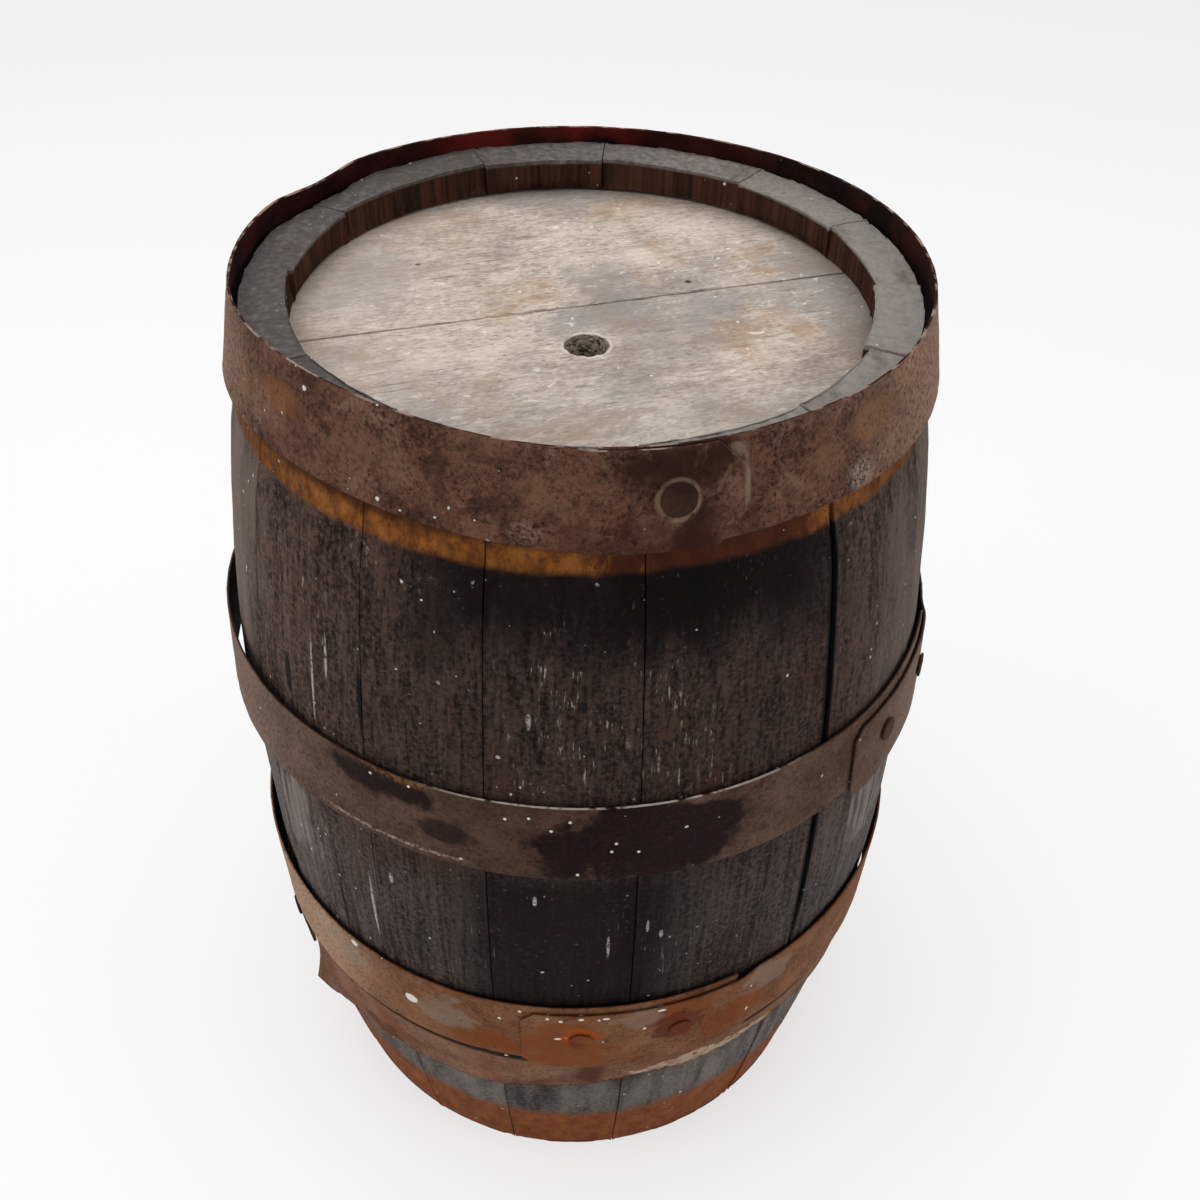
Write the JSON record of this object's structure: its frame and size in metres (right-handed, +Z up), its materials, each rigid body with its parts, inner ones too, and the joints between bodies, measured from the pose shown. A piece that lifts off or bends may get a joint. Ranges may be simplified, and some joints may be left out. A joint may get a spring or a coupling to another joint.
{
  "type": "wooden barrel",
  "caption": "Small old wooden cask of bent staves with boarded heads, an open tap hole in the top head and loose riveted iron hoops.",
  "frame": {"origin": "on the floor, on the axis of the staves", "axes": "+Z up along the cask's axis, -Y towards the pictured front, +X to its right"},
  "size_m": [0.3672, 0.3705, 0.5115],
  "materials": {
    "stave_oak": "dark weathered oak, worn grey",
    "head_oak": "bare weathered oak, grey beige",
    "dowel_oak": "bare oak",
    "hoop_iron": "rusted strip iron",
    "rivet_iron": "rusted forged iron"
  },
  "bodies": {
    "cask": {"bottom_head_dowels": "dowel_oak", "bottom_head_front_board": "head_oak", "bottom_head_rear_board": "head_oak", "stave_01": "stave_oak", "stave_02": "stave_oak", "stave_03": "stave_oak", "stave_04": "stave_oak", "stave_05": "stave_oak", "stave_06": "stave_oak", "stave_07": "stave_oak", "stave_08": "stave_oak", "stave_09": "stave_oak", "stave_10": "stave_oak", "stave_11": "stave_oak", "stave_12": "stave_oak", "stave_13": "stave_oak", "top_head_dowels": "dowel_oak", "top_head_front_board": "head_oak", "top_head_rear_board": "head_oak"},
    "top_chime_hoop": {"top_chime_hoop": "hoop_iron", "top_chime_hoop_rivets": "rivet_iron"},
    "upper_bilge_hoop": {"upper_bilge_hoop": "hoop_iron", "upper_bilge_hoop_rivets": "rivet_iron"},
    "lower_bilge_hoop": {"lower_bilge_hoop": "hoop_iron", "lower_bilge_hoop_rivets": "rivet_iron"},
    "bottom_hoop": {"bottom_hoop": "hoop_iron", "bottom_hoop_rivets": "rivet_iron"}
  },
  "joints": [
    {"name": "top_chime_hoop_slide", "type": "slide", "parent": "cask", "child": "top_chime_hoop", "axis": [0.0318, -0.1802, 0.9831], "range_m": [-0.0116, 0.032]},
    {"name": "upper_bilge_hoop_slide", "type": "slide", "parent": "cask", "child": "upper_bilge_hoop", "axis": [0, 0, 1], "range_m": [0, 0.204]},
    {"name": "lower_bilge_hoop_slide", "type": "slide", "parent": "cask", "child": "lower_bilge_hoop", "axis": [0, 0, 1], "range_m": [-0.0035, 0.011]},
    {"name": "bottom_hoop_slide", "type": "slide", "parent": "cask", "child": "bottom_hoop", "axis": [0, 0, 1], "range_m": [-0.093, 0]}
  ]
}
